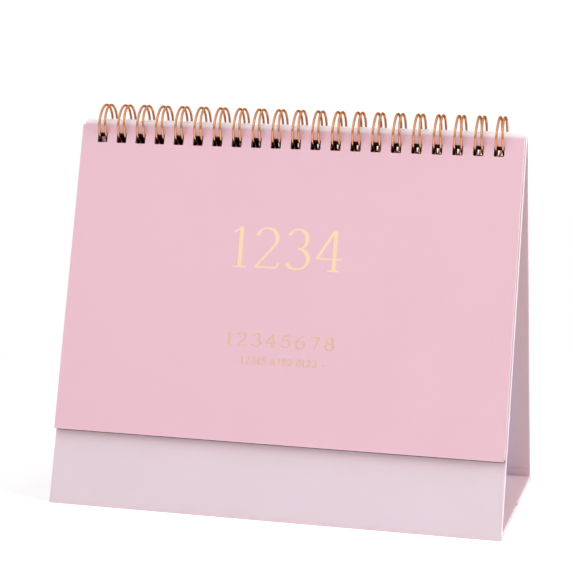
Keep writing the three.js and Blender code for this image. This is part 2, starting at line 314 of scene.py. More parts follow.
def book_paper():
    """Printed paper pasted over greyboard: dry and matt, pinker towards its foot, with painted warm shade
    from just below the pad upwards, painted highlights along its top and side edges and painted shade round
    the front holes.
    """
    made = paper("Wrapped_greyboard_paper", colours().board, mottle_mm=22, fibre_mm=0.4, relief_mm=0.03,
                 roughness=0.62, contrast=0.03)
    tree = made.node_tree
    height = object_place(tree, "Z")
    aside = add_node(tree, "ShaderNodeMath", {0: object_place(tree, "X")}, operation="ABSOLUTE")
    pad_foot, top, side = cover_low.z, panel_high.z, stand_width / 2
    # Each zone: the coordinate that it follows, where it starts and where it is full, and its colour.
    for place, start, full, colour in (
        # Painted warm shade from just below the pad's foot upwards.
        (height, pad_foot - 9 * MM, pad_foot - 1 * MM, colours().kept),
        # Painted highlight along the top edge.
        (height, top - 2.3 * MM, top - 0.8 * MM, colours().rubbed),
        # Painted highlight along the side edges.
        (aside, side - 0.4 * MM, side - 0.1 * MM, colours().side),
        # Pinker towards the foot.
        (height, 2.4 * MM, 0.9 * MM, colours().foot),
    ):
        recolour(made, smooth_step(tree, place, start, full), colour)
    # Painted shade round the front panel's holes, in the core's colour.
    recolour(made, wear_round_holes(tree, height), colours().core)
    return made


def wear_round_holes(tree, height):
    """Painted shade on the front panel's face beside and above its holes, in the colour of its core."""
    s = sizes()
    beside, above, fade = 0.2 * MM, 1.4 * MM, 0.2 * MM
    hole_height = crossing(-s.board_thickness / 2) * lean()[1]
    half_pitch = s.loop_pitch / 2
    from_middle = add_node(tree, "ShaderNodeMath", {0: object_place(tree, "X"), 1: -binding_x})
    from_hole = add_node(tree, "ShaderNodeMath", {0: from_middle, 1: half_pitch, 2: -half_pitch},
                         operation="WRAP")
    off_line = add_node(tree, "ShaderNodeMath", {0: height, 1: -hole_height})
    wear_and_shade = smooth_step(tree, object_place(tree, "Y"), 0.0, -1 * MM)
    for distance, reach in (
        (from_middle, s.loop_count * half_pitch),
        (from_hole, s.hole_width / 2 + beside),
        (off_line, s.hole_height / 2 + above),
    ):
        size = add_node(tree, "ShaderNodeMath", {0: distance}, operation="ABSOLUTE")
        near = smooth_step(tree, size, reach + fade, reach)
        wear_and_shade = add_node(tree, "ShaderNodeMath", {0: wear_and_shade, 1: near}, operation="MULTIPLY")
    return wear_and_shade


def lining_paper():
    """Uncoated lilac lining paper, rougher than the outside, with painted warm light towards its open
    sides.
    """
    name = "Uncoated_lining_paper"
    if name in bpy.data.materials:
        return bpy.data.materials[name]
    made = paper(name, colours().lining, mottle_mm=18, fibre_mm=0.45, relief_mm=0.03, roughness=0.85,
                 contrast=0.03)
    tree = made.node_tree
    aside = add_node(tree, "ShaderNodeMath", {0: object_place(tree, "X")}, operation="ABSOLUTE")
    warm_light_from, warm_light_to = 84.5 * MM, 91.5 * MM
    # Painted warm light by the open side edges.
    recolour(made, smooth_step(tree, aside, warm_light_from, warm_light_to), colours().faded)
    return made


def offset_paper():
    """White uncoated offset paper of the month leaves, with a painted shadow line along the foot of the
    last one.
    """
    made = paper("Uncoated_offset_paper", colours().leaf, mottle_mm=15, fibre_mm=0.3, relief_mm=0.02,
                 roughness=0.85, contrast=0.02)
    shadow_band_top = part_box(month_names[-1])[0].z + 0.35 * MM
    height = object_place(made.node_tree, "Z")
    # Painted shadow line: the dropped foot of the last leaf, coloured dark.
    printed = smooth_step(made.node_tree, height, shadow_band_top, shadow_band_top - 0.05 * MM)
    recolour(made, printed, colours().printed_foot)
    return made


def printing_ink():
    """Matt printing ink, slightly uneven where it soaks into the paper."""
    return paper("Soaked_printing_ink", colours().ink, mottle_mm=2, fibre_mm=0.3, relief_mm=0.01,
                 roughness=0.8, contrast=0.08)


def coated_wire():
    """Steel wire with a rose-gold coating, drawn smooth, so it mirrors in long thin streaks."""
    made, tree, shader = new_material("Rose_gold_coated_steel_wire")
    place = add_node(tree, "ShaderNodeTexCoord").outputs["Object"]
    wear_and_shade = add_node(tree, "ShaderNodeTexNoise", {"Vector": place, "Scale": 1 / (2.5 * MM), "Detail": 3.0})
    tone = blend_colour(tree, wear_and_shade, colours().worn_wire, colours().wire)
    gloss = add_node(tree, "ShaderNodeMapRange", {"Value": wear_and_shade, "To Min": 0.16, "To Max": 0.28})
    feed(tree, shader, {"Base Color": tone, "Roughness": gloss, "Metallic": 1.0,
                        "Specular Tint": linear(colours().wire_edge)})
    return made


def hot_foil(name, hex_colour, roughness):
    """Hot-stamped gold foil: a thin metal film with the faint ripple of the card under it."""
    made, tree, shader = new_material(name)
    place = add_node(tree, "ShaderNodeTexCoord").outputs["Object"]
    ripple = add_node(tree, "ShaderNodeTexNoise", {"Vector": place, "Scale": 1 / (0.8 * MM), "Detail": 2})
    bump = add_node(tree, "ShaderNodeBump", {"Height": ripple, "Strength": 0.25, "Distance": 0.02 * MM})
    feed(tree, shader, {"Base Color": linear(hex_colour), "Metallic": 1.0, "Roughness": roughness,
                        "Normal": bump})
    return made


# Geometry Nodes, and the way from a node tree to a plain mesh.

def new_tree(name, inputs):
    """A geometry tree with named inputs. Gives back the tree and its input sockets by name."""
    tree = bpy.data.node_groups.new(name, "GeometryNodeTree")
    for label, kind in {"Geometry": "Geometry", **inputs}.items():
        tree.interface.new_socket(name=label, in_out="INPUT", socket_type="NodeSocket" + kind)
    tree.interface.new_socket(name="Geometry", in_out="OUTPUT", socket_type="NodeSocketGeometry")
    return tree, add_node(tree, "NodeGroupInput").outputs


def add_object(name, data):
    made = bpy.data.objects.new(name, data)
    bpy.context.scene.collection.objects.link(made)
    return made


def grown(tree, values, points=()):
    """The mesh that a tree makes from these values, and from points if it starts from some."""
    seed = bpy.data.meshes.new("seed")
    seed.from_pydata(points, [], [])
    holder = add_object("seed", seed)
    modifier = holder.modifiers.new("nodes", "NODES")
    modifier.node_group = tree
    for item in tree.interface.items_tree:
        if item.name in values:
            modifier[item.identifier] = values[item.name]
    evaluated = holder.evaluated_get(bpy.context.evaluated_depsgraph_get())
    mesh = bpy.data.meshes.new_from_object(evaluated)
    bpy.data.objects.remove(holder)
    return mesh


def new_piece(name, mesh, replaced, body=None):
    """A finished mesh as a piece in place of its CAD nodes, which it hides, and tied to a body if it has
    one.
    """
    piece = add_object(name, mesh)
    if replaced:
        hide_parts(*replaced)
    if body:
        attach(piece, body)
    return piece


def soften_edges(piece, width, segments):
    """Rounds every sharp edge a little, as paper and card do."""
    bevel = piece.modifiers.new("soft edges", "BEVEL")
    bevel.width = width
    bevel.segments = segments
    bevel.limit_method = "ANGLE"
    bevel.angle_limit = math.radians(40)


@contextmanager
def reworked(mesh):
    """A mesh opened for changes, which it keeps at the end."""
    work = bmesh.new()
    work.from_mesh(mesh)
    yield work
    work.to_mesh(mesh)
    work.free()


def cut_through(work, place, normal, **settings):
    """Cuts everything along a plane, and gives back what lies in the cut."""
    everything = work.verts[:] + work.edges[:] + work.faces[:]
    cut = bmesh.ops.bisect_plane(work, geom=everything, plane_co=place, plane_no=normal, **settings)
    return cut["geom_cut"]


def punched_sheet_tree(face, edge, wall):
    """A rectangle with rounded corners and a row of punched holes, given a thickness upwards."""
    lengths = ("Width", "Height", "Thickness", "Corner", "Pitch", "Hole Width", "Hole Height",
               "Hole Corner")
    tree, given = new_tree("Punched sheet", {**dict.fromkeys(lengths, "Float"), "Holes": "Int",
                                             "First Hole": "Vector"})
    corner_points = 5
    outlines = []
    for which in ("", "Hole "):
        square = add_node(tree, "GeometryNodeCurvePrimitiveQuadrilateral",
                          {"Width": given[which + "Width"], "Height": given[which + "Height"]})
        rounded = {"Curve": square, "Count": corner_points, "Radius": given[which + "Corner"]}
        outlines.append(add_node(tree, "GeometryNodeFilletCurve", rounded, mode="POLY"))
    centred, punch = outlines
    half = add_node(tree, "ShaderNodeMath", {0: given["Height"], 1: 0.5}, operation="MULTIPLY")
    lift = add_node(tree, "ShaderNodeCombineXYZ", {"Y": half})
    border = add_node(tree, "GeometryNodeSetPosition", {"Geometry": centred, "Offset": lift})
    step = add_node(tree, "ShaderNodeCombineXYZ", {"X": given["Pitch"]})
    row = add_node(tree, "GeometryNodeMeshLine",
                   {"Count": given["Holes"], "Start Location": given["First Hole"], "Offset": step})
    holes = add_node(tree, "GeometryNodeInstanceOnPoints", {"Points": row, "Instance": punch})
    real_holes = add_node(tree, "GeometryNodeRealizeInstances", {"Geometry": holes})
    curves = add_node(tree, "GeometryNodeJoinGeometry", {0: [border, real_holes]})
    lower = add_node(tree, "GeometryNodeFillCurve", {"Curve": curves}, mode="TRIANGLES")
    upper = add_node(tree, "GeometryNodeExtrudeMesh",
                     {"Mesh": lower, "Offset Scale": given["Thickness"], "Individual": False})
    underside = add_node(tree, "GeometryNodeFlipFaces", {"Mesh": lower})
    shell = add_node(tree, "GeometryNodeJoinGeometry", {0: [upper, underside]})
    closed = add_node(tree, "GeometryNodeMergeByDistance", {"Geometry": shell, "Distance": MERGE_DISTANCE})
    # The side faces that lie well inside the border are the walls of holes.
    rim, foot = 1 * MM, 5 * MM
    place = add_node(tree, "GeometryNodeInputPosition")
    spot = add_node(tree, "ShaderNodeSeparateXYZ", {0: place}).outputs
    aside = add_node(tree, "ShaderNodeMath", {0: spot["X"]}, operation="ABSOLUTE")
    past_side = add_node(tree, "ShaderNodeMath", {0: given["Width"], 1: -0.5, 2: aside},
                         operation="MULTIPLY_ADD")
    past_top = add_node(tree, "ShaderNodeMath", {0: spot["Y"], 1: given["Height"]}, operation="SUBTRACT")
    outermost = add_node(tree, "ShaderNodeMath", {0: past_side, 1: past_top}, operation="MAXIMUM")
    inside = add_node(tree, "ShaderNodeMath", {0: outermost, 1: -rim}, operation="LESS_THAN")
    off_foot = add_node(tree, "ShaderNodeMath", {0: spot["Y"], 1: foot}, operation="GREATER_THAN")
    is_side = upper.outputs["Side"]
    is_wall = is_side
    for test in (inside, off_foot):
        is_wall = add_node(tree, "FunctionNodeBooleanMath", {0: test, 1: is_wall}, operation="AND")
    faces = add_node(tree, "GeometryNodeSetMaterial", {"Geometry": closed, "Material": face})
    edges = add_node(tree, "GeometryNodeSetMaterial",
                     {"Geometry": faces, "Selection": is_side, "Material": edge})
    real = add_node(tree, "GeometryNodeRealizeInstances", {"Geometry": edges})
    painted = add_node(tree, "GeometryNodeSetMaterial",
                       {"Geometry": real, "Selection": is_wall, "Material": wall})
    add_node(tree, "NodeGroupOutput", {"Geometry": painted})
    return tree


def sheet_values(width, height, thickness, corner, holes=0, hole_line=0.0, holes_x=0.0):
    """Inputs of a punched sheet. Its bottom edge lies on Y = 0, and its middle on X = 0."""
    s = sizes()
    first = holes_x - (s.loop_count - 1) / 2 * s.loop_pitch
    return {
        "Width": width, "Height": height, "Thickness": thickness, "Corner": corner,
        "Hole Width": s.hole_width, "Hole Height": s.hole_height, "Hole Corner": s.hole_corner,
        "Holes": holes, "Pitch": s.loop_pitch, "First Hole": (first, hole_line, 0.0),
    }


def cut_level(mesh):
    """Cuts a standing board level at the ground, so that its foot rests flat."""
    with reworked(mesh) as work:
        cut = cut_through(work, (0, 0, 0), (0, 0, -1), clear_outer=True)
        bmesh.ops.contextual_create(work, geom=[e for e in cut if isinstance(e, bmesh.types.BMEdge)])


def bare_above(mesh, height, half_width, bare):
    """Leaves a flat board's inner face without paper above this height and between the turn-ins."""
    index = mesh.materials.find(bare.name)
    with reworked(mesh) as work:
        cut_through(work, (0, height, 0), (0, 1, 0))
        for x in (half_width, -half_width):
            cut_through(work, (x, 0, 0), (1, 0, 0))
        for face in work.faces:
            middle = face.calc_center_median()
            if face.normal.z < -0.9 and middle.y > height and abs(middle.x) < half_width:
                face.material_index = index


class CALENDAR_OT_boards(bpy.types.Operator):
    """Both panels of the tent with their rows of holes, and both halves of its base"""

    bl_idname = "calendar.boards"
    bl_label = "Boards of the stand"

    def execute(self, context):
        cover = book_paper()
        core = greyboard()
        # The boards' hole walls take the near-black core as painted shade inside the holes.
        tree = punched_sheet_tree(cover, cover, core)
        for side, holes_x in (("front", binding_x), ("rear", -binding_x)):
            self.add_panel(tree, core, side, holes_x)
            self.add_base_half(tree, side)
        return {"FINISHED"}

    def add_panel(self, tree, core, side, holes_x):
        s = sizes()
        rise = lean()[1]
        below = s.board_thickness
        hole_line = crossing(-s.board_thickness / 2) + below
        mesh = grown(tree, sheet_values(stand_width, panel_high.z / rise + below, s.board_thickness,
                                        s.board_corner, s.loop_count, hole_line, holes_x))
        # Above the lining the bare core shows, near-black as painted shade of the tent's narrow top.
        bare_above(mesh, lining_top / rise + below, stand_width / 2 - s.turn_in, core)
        into_panel = Matrix.Translation((0, -below, -s.board_thickness))
        mesh.transform(half_turn(side) @ sheet_matrix(0, -half_depth, 0) @ into_panel)
        cut_level(mesh)
        piece = new_piece(side + "_covered_board", mesh, [side + "_panel"],
                          side + "_stand")
        soften_edges(piece, s.board_edge, 3)

    def add_base_half(self, tree, side):
        s = sizes()
        node = f"base_{side}_panel"
        low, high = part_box(node)
        mesh = grown(tree, sheet_values(high.x - low.x, high.y - low.y, high.z - low.z, s.board_corner / 2))
        mesh.transform(Matrix.Translation(((low.x + high.x) / 2, low.y, low.z)))
        piece = new_piece(f"base_{side}_covered_board", mesh, [node], f"base_{side}")
        soften_edges(piece, s.board_edge, 3)


class CALENDAR_OT_fold_papers(bpy.types.Operator):
    """The papers that bridge both folds at the foot"""

    bl_idname = "calendar.fold_papers"
    bl_label = "Fold papers"

    steps = 12
    bend_reach = 0.6 * MM

    def execute(self, context):
        lining = lining_paper()
        for side, way in (("front", 1), ("rear", -1)):
            self.add_paper(side, way, lining)
        return {"FINISHED"}

    def add_paper(self, side, way, lining):
        """A strip in the corner of a fold: up the panel's inner face and out along the base."""
        node = side + "_fold_paper"
        low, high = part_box(node)
        fold = joint_place[f"base_{side}_fold"]
        run, rise = lean()
        panel_leg = Vector((0, way * run, rise))
        base_leg = Vector((0, way, 0))
        reach = (high.y if way > 0 else -low.y) - way * fold.y
        across = (high.x - low.x) / 2
        rows = self.section(fold, panel_leg, base_leg, reach)
        points = [Vector((x, row.y, row.z)) for x in (-across, across) for row in rows]
        count = len(rows)
        faces = [(i, (i + 1) % count, count + (i + 1) % count, count + i) for i in range(count)]
        faces += [tuple(range(count - 1, -1, -1)), tuple(range(count, 2 * count))]
        mesh = bpy.data.meshes.new(node)
        mesh.from_pydata(points, [], faces)
        mesh.materials.append(lining)
        with reworked(mesh) as work:
            bmesh.ops.recalc_face_normals(work, faces=work.faces[:])
        piece = new_piece(side + "_bent_fold_paper", mesh, [node])
        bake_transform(piece)

    def section(self, fold, panel_leg, base_leg, reach):
        """The strip's outline across the fold: there along its near side, and back along its far side."""
        s = sizes()
        up_panel = Vector((0, base_leg.y * panel_leg.z, -panel_leg.y * base_leg.y))
        up_base = Vector((0, 0, 1))
        bisector = (panel_leg + base_leg).normalized()
        half_angle = panel_leg.angle(base_leg) / 2
        sides = []
        for depth in (s.paper_seat, s.paper_seat + s.paper_thickness):
            corner = fold + bisector * depth / math.sin(half_angle)
            top = fold + panel_leg * reach + up_panel * depth
            end = fold + base_leg * reach + up_base * depth
            leg = [top.lerp(corner, i / self.steps) for i in range(self.steps)]
            sides.append(leg + [corner.lerp(end, i / self.steps) for i in range(self.steps + 1)])
        return sides[0] + sides[1][::-1]


def leaf_place(node, thickness):
    """Where a leaf stands, its width and its height, from the box of its CAD node."""
    run, rise = lean()
    low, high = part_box(node)
    height = (high.z - low.z - thickness * run) / rise
    matrix = sheet_matrix((low.x + high.x) / 2, low.y + thickness * rise, low.z)
    return matrix, high.x - low.x, height


def leaf_mesh(tree, node, thickness, overhang=0.0, drop=0.0):
    """A punched leaf, with a little more at its right side or at its foot."""
    s = sizes()
    matrix, width, height = leaf_place(node, thickness)
    mesh = grown(tree, sheet_values(width + overhang, height + drop, thickness, s.leaf_corner, s.loop_count,
                                    height + drop - s.leaf_hole_margin, -overhang / 2))
    mesh.transform(matrix @ Matrix.Translation((overhang / 2, -drop, 0)))
    return mesh


class CALENDAR_OT_pad(bpy.types.Operator):
    """The cover and the month leaves, each punched for the wire"""

    bl_idname = "calendar.pad"
    bl_label = "Cover and month leaves"

    def execute(self, context):
        s = sizes()
        white = offset_paper()
        # Hole walls of cover and leaves take near-black painted shade.
        wall = punched_edge()
        paper_tree = punched_sheet_tree(white, white, wall)
        card_tree = punched_sheet_tree(art_card(), card_core(), wall)
        card = leaf_mesh(card_tree, "cover_leaf", s.cover_thickness, overhang=s.cover_overhang)
        cover = new_piece("cover_card", card, ["cover_leaf"], "cover")
        soften_edges(cover, s.cover_thickness / 5, 2)
        first = leaf_mesh(paper_tree, month_names[0], s.leaf_thickness)
        new_piece("first_month_leaf", first, month_names[:1], "first_month")
        last = month_names[-1]
        side_trim = cover_high.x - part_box(last)[1].x
        overhang = side_trim + s.cover_overhang
        # The last leaf reaches below the cover; its dark foot is the painted shadow line.
        block = leaf_mesh(paper_tree, last, s.leaf_thickness, overhang, s.last_leaf_drop)
        with reworked(block) as work:
            for name in month_names[1:-1]:
                work.from_mesh(leaf_mesh(paper_tree, name, s.leaf_thickness))
        new_piece("month_leaves", block, month_names[1:], "month_block")
        return {"FINISHED"}


def on_loop(x, angle):
    """A point of the wire, from its lowest point round to the front and over the top."""
    s = sizes()
    y = -s.loop_radius * math.sin(angle)
    return loop_centre + Vector((x, y, -s.loop_radius * math.cos(angle)))


def leg_spacing(angle):
    s = sizes()
    share = min(max((angle - s.taper_start) / (s.taper_end - s.taper_start), 0), 1)
    return s.root_spacing + (s.tip_spacing - s.root_spacing) * share * share * (3 - 2 * share)


def one_loop(bend_steps=6, leg_steps=48, tip_steps=10):
    """Points of one loop: half a spine, a bend, a leg, the tip, a leg back, a bend and half a spine."""
    s = sizes()
    radius = s.loop_radius
    leg_start = s.spine_angle + s.spine_bend / radius
    tip_angle = 2 * math.pi + s.spine_angle - (s.wire_diameter + s.closure_gap) / radius
    tip_radius = s.tip_spacing / 2
    leg_end = tip_angle - tip_radius / radius
    root_x = leg_spacing(leg_start) / 2
    half = [on_loop(-s.loop_pitch / 2, s.spine_angle)]
    for step in range(bend_steps):
        turn = math.pi / 2 * (1 - step / bend_steps)
        angle = s.spine_angle + s.spine_bend * (1 - math.sin(turn)) / radius
        half.append(on_loop(-root_x - s.spine_bend * (1 - math.cos(turn)), angle))
    for step in range(leg_steps + 1):
        angle = leg_start + (leg_end - leg_start) * step / leg_steps
        half.append(on_loop(-leg_spacing(angle) / 2, angle))
    for step in range(1, tip_steps // 2):
        turn = math.pi * step / tip_steps
        half.append(on_loop(-tip_radius * math.cos(turn), leg_end + tip_radius * math.sin(turn) / radius))
    middle = on_loop(0, leg_end + tip_radius / radius)
    other = [Vector((-p.x, p.y, p.z)) for p in reversed(half[1:])]
    return half + [middle] + other


def wire_tree(finish):
    """One unbroken wire: the points of one loop, repeated along the ridge and swept with a circle."""
    tree, given = new_tree("Twin-loop wire", {
        "Loops": "Int", "Pitch": "Float", "Wire Radius": "Float", "Wire Sides": "Int",
    })
    loop_points = add_node(tree, "GeometryNodeAttributeDomainSize", {"Geometry": given["Geometry"]})
    total = add_node(tree, "ShaderNodeMath", {0: loop_points, 1: given["Loops"]}, operation="MULTIPLY")
    line = add_node(tree, "GeometryNodeCurvePrimitiveLine")
    thread = add_node(tree, "GeometryNodeResampleCurve", {"Curve": line, "Count": total})
    index = add_node(tree, "GeometryNodeInputIndex")
    turns = add_node(tree, "ShaderNodeMath", {0: index, 1: loop_points}, operation="DIVIDE")
    loop = add_node(tree, "ShaderNodeMath", {0: turns}, operation="FLOOR")
    within = add_node(tree, "ShaderNodeMath", {0: index, 1: loop_points}, operation="MODULO")
    place = add_node(tree, "GeometryNodeInputPosition")
    taken = add_node(tree, "GeometryNodeSampleIndex",
                     {"Geometry": given["Geometry"], "Value": place, "Index": within},
                     data_type="FLOAT_VECTOR")
    along = add_node(tree, "ShaderNodeMath", {0: loop, 1: given["Pitch"]}, operation="MULTIPLY")
    shift = add_node(tree, "ShaderNodeCombineXYZ", {"X": along})
    spot = add_node(tree, "ShaderNodeVectorMath", {0: taken, 1: shift}, operation="ADD")
    bent = add_node(tree, "GeometryNodeSetPosition", {"Geometry": thread, "Position": spot})
    circle = add_node(tree, "GeometryNodeCurvePrimitiveCircle",
                      {"Resolution": given["Wire Sides"], "Radius": given["Wire Radius"]})
    swept = add_node(tree, "GeometryNodeCurveToMesh",
                     {"Curve": bent, "Profile Curve": circle, "Fill Caps": True})
    smooth = add_node(tree, "GeometryNodeSetShadeSmooth", {"Geometry": swept})
    real = add_node(tree, "GeometryNodeRealizeInstances", {"Geometry": smooth})
    painted = add_node(tree, "GeometryNodeSetMaterial", {"Geometry": real, "Material": finish})
    add_node(tree, "NodeGroupOutput", {"Geometry": painted})
    return tree


class CALENDAR_OT_wire(bpy.types.Operator):
    """The twin-loop wire, one length bent into a row of hairpins"""

    bl_idname = "calendar.wire"
    bl_label = "Twin-loop wire"

    def execute(self, context):
        s = sizes()
        values = {"Loops": s.loop_count, "Pitch": s.loop_pitch, "Wire Radius": s.wire_diameter / 2,
                  "Wire Sides": 12}
        mesh = grown(wire_tree(coated_wire()), values, one_loop())
        first_x = binding_x - (s.loop_count - 1) / 2 * s.loop_pitch
        mesh.transform(Matrix.Translation((first_x, 0, 0)))
        new_piece("twin_loop_wire", mesh, ["wire_binding"], "front_stand")
        return {"FINISHED"}


# Plain figures, written with a broad pen: each is a few strokes on a height of 1.

def arc(x, y, across, up, start, end, steps=20):
    """Points round part of an ellipse, between two angles in degrees."""
    turns = [math.radians(start + (end - start) * step / steps) for step in range(steps + 1)]
    return [(x + across * math.cos(turn), y + up * math.sin(turn)) for turn in turns]


def turned_over(strokes, x, y):
    """The same strokes, turned half round a point."""
    return [[(2 * x - px, 2 * y - py) for px, py in stroke] for stroke in strokes]


def figure_strokes():
    """Width and pen strokes of each figure."""
    six = [arc(0.27, 0.30, 0.22, 0.28, 0, 360), arc(0.53, 0.30, 0.48, 0.68, 180, 97)]
    return {
        "0": (0.54, [arc(0.27, 0.5, 0.24, 0.48, 0, 360)]),
        "1": (0.36, [[(0.04, 0.84), (0.19, 0.98)], [(0.19, 0.99), (0.19, 0.02)],
                     [(0.05, 0.02), (0.33, 0.02)]]),
        "2": (0.54, [arc(0.25, 0.72, 0.21, 0.26, 165, -35) + [(0.04, 0.03)],
                     [(0.04, 0.03), (0.47, 0.03), (0.52, 0.15)]]),
        "3": (0.50, [arc(0.23, 0.74, 0.19, 0.24, 160, -85), arc(0.23, 0.27, 0.23, 0.25, 88, -155)]),
        "4": (0.56, [[(0.36, 0.98), (0.02, 0.30)], [(0.02, 0.30), (0.54, 0.30)],
                     [(0.38, 0.99), (0.38, 0.02)], [(0.25, 0.02), (0.50, 0.02)]]),
        "5": (0.50, [[(0.13, 0.96), (0.45, 0.96)], [(0.13, 0.97), (0.09, 0.54)],
                     arc(0.22, 0.32, 0.24, 0.30, 125, -150)]),
        "6": (0.54, six),
        "7": (0.52, [[(0.03, 0.84), (0.05, 0.96), (0.49, 0.96)], [(0.49, 0.96), (0.20, 0.01)]]),
        "8": (0.52, [arc(0.26, 0.75, 0.18, 0.22, 0, 360), arc(0.26, 0.27, 0.22, 0.25, 0, 360)]),
        "9": (0.54, turned_over(six, 0.27, 0.49)),
        "-": (0.50, [[(0.04, 0.40), (0.46, 0.40)]]),
        " ": (0.20, []),
    }


def add_stroke(work, points, nib, hairline, thickness):
    """One stroke of a broad pen held a little askew: thick down the sides, thin over the top."""
    pen = math.radians(14)
    rings = []
    for index, (x, y) in enumerate(points):
        before = points[max(index - 1, 0)]
        after = points[min(index + 1, len(points) - 1)]
        heading = math.atan2(after[1] - before[1], after[0] - before[0])
        width = max(nib * abs(math.sin(heading - pen)), hairline)
        aside = Vector((-math.sin(heading), math.cos(heading), 0)) * width / 2
        middle = Vector((x, y, 0))
        up = Vector((0, 0, thickness))
        corners = (middle - aside, middle + aside, middle + aside + up, middle - aside + up)
        rings.append([work.verts.new(corner) for corner in corners])
    for here, there in zip(rings, rings[1:]):
        for side in range(4):
            after = (side + 1) % 4
            work.faces.new((here[side], here[after], there[after], there[side]))
    work.faces.new(rings[0][::-1])
    work.faces.new(rings[-1])


def add_line_of_figures(work, text, middle, width, height, pen, thickness, stretch=1.0, thinnest=0.3):
    """Sets a line of figures about its middle, spread evenly to a width, or close if it has none."""
    figures = figure_strokes()
    across = height * stretch
    natural = sum(figures[letter][0] for letter in text) * across
    gaps = max(len(text) - 1, 1)
    gap = (width - natural) / gaps if width else 0.1 * height
    x = middle[0] - (natural + gap * (len(text) - 1)) / 2
    layer = 0
    for letter in text:
        figure_width, strokes = figures[letter]
        for stroke in strokes:
            # Each stroke is a touch higher than the last, so that no two share a face.
            placed = [(x + px * across, middle[1] + (py - 0.5) * height) for px, py in stroke]
            add_stroke(work, placed, pen * height, thinnest * pen * height,
                       thickness * (1 + 0.1 * (layer % 4)))
            layer += 1
        x += figure_width * across + gap


def stamped(work, finish, matrix):
    """What was drawn flat, as a mesh in its place with its finish."""
    bmesh.ops.recalc_face_normals(work, faces=work.faces[:])
    mesh = bpy.data.meshes.new("figures")
    work.to_mesh(mesh)
    work.free()
    mesh.transform(matrix)
    mesh.materials.append(finish)
    return mesh


class CALENDAR_OT_foil(bpy.types.Operator):
    """Plain month numbers in gold foil on the cover"""

    bl_idname = "calendar.foil"
    bl_label = "Foil figures"

    # Name, text, drop below the cover's top edge, width, height, pen, stretch, thinnest line and finish.
    lines = (
        ("large_foil_figures", "1234", 49.3 * MM, 47.5 * MM, 17.3 * MM, 0.10, 1.18, 0.4, "foil"),
        ("middle_foil_figures", "12345678", 87.4 * MM, 46.0 * MM, 5.4 * MM, 0.17, 1.5, 0.45, "faint_foil"),
        ("small_foil_figures", "- 12345 6789 0123 -", 95.9 * MM, 39.0 * MM, 2.8 * MM, 0.19, 1.2, 0.9,
         "faint_foil"),
    )

    def execute(self, context):
        s = sizes()
        matrix, _, height = leaf_place("cover_leaf", s.cover_thickness)
        face = matrix @ Matrix.Translation((0, 0, s.cover_thickness - s.foil_thickness / 2))
        finishes = {"foil": hot_foil("Hot_stamped_pale_gold_foil", colours().foil, 0.3),
                    "faint_foil": hot_foil("Hot_stamped_fine_gold_foil", colours().faint_foil, 0.4)}
        for name, text, drop, line_width, figure_height, pen, stretch, thinnest, finish in self.lines:
            work = bmesh.new()
            add_line_of_figures(work, text, (0, height - drop), line_width, figure_height, pen,
                                1.5 * s.foil_thickness, stretch, thinnest)
            new_piece(name, stamped(work, finishes[finish], face), [], "cover")
        return {"FINISHED"}


class CALENDAR_OT_month_print(bpy.types.Operator):
    """The plain grid of day numbers that a month leaf carries"""

    bl_idname = "calendar.month_print"
    bl_label = "Printed month leaves"

    column = 23.0 * MM
    row = 17.0 * MM
    rows = 5
    days = 30
    grid_drop = 30.0 * MM
    month_drop = 17.0 * MM
    month_height = 9.0 * MM
    day_height = 4.2 * MM
    month_pen, day_pen = 0.12, 0.13
    rule_width = 0.25 * MM
    ink_thickness = 0.012 * MM

    def execute(self, context):
        ink = printing_ink()
        self.print_month(month_names[0], "first_month", "1", 3, ink)
        self.print_month(month_names[1], "month_block", "2", 6, ink)
        return {"FINISHED"}

    def print_month(self, node, body, month, first_weekday, ink):
        """A month number, seven columns of day numbers and thin rules between the weeks."""
        s = sizes()
        matrix, _, height = leaf_place(node, s.leaf_thickness)
        face = matrix @ Matrix.Translation((0, 0, s.leaf_thickness - self.ink_thickness / 2))
        work = bmesh.new()
        left = -3 * self.column
        top = height - self.grid_drop
        add_line_of_figures(work, month, (left, height - self.month_drop), 0, self.month_height,
                            self.month_pen, 2 * self.ink_thickness)
        for day in range(1, self.days + 1):
            week, weekday = divmod(first_weekday + day - 1, 7)
            place = (left + weekday * self.column, top - week * self.row)
            add_line_of_figures(work, str(day), place, 0, self.day_height, self.day_pen, self.ink_thickness)
        for rule in range(self.rows + 1):
            y = top - (rule - 0.5) * self.row
            ends = [(-3.5 * self.column, y), (3.5 * self.column, y)]
            add_stroke(work, ends, self.rule_width, self.rule_width, self.ink_thickness)
        new_piece(body + "_print", stamped(work, ink, face), [], body)


class CALENDAR_OT_linings(bpy.types.Operator):
    """Finish of the papers inside the stand and on its base"""

    bl_idname = "calendar.linings"
    bl_label = "Lining papers"

    def execute(self, context):
        for node in frame["nodes"].values():
            if node.hide_render:
                continue
            node.data.materials.clear()
            node.data.materials.append(lining_paper())
        return {"FINISHED"}


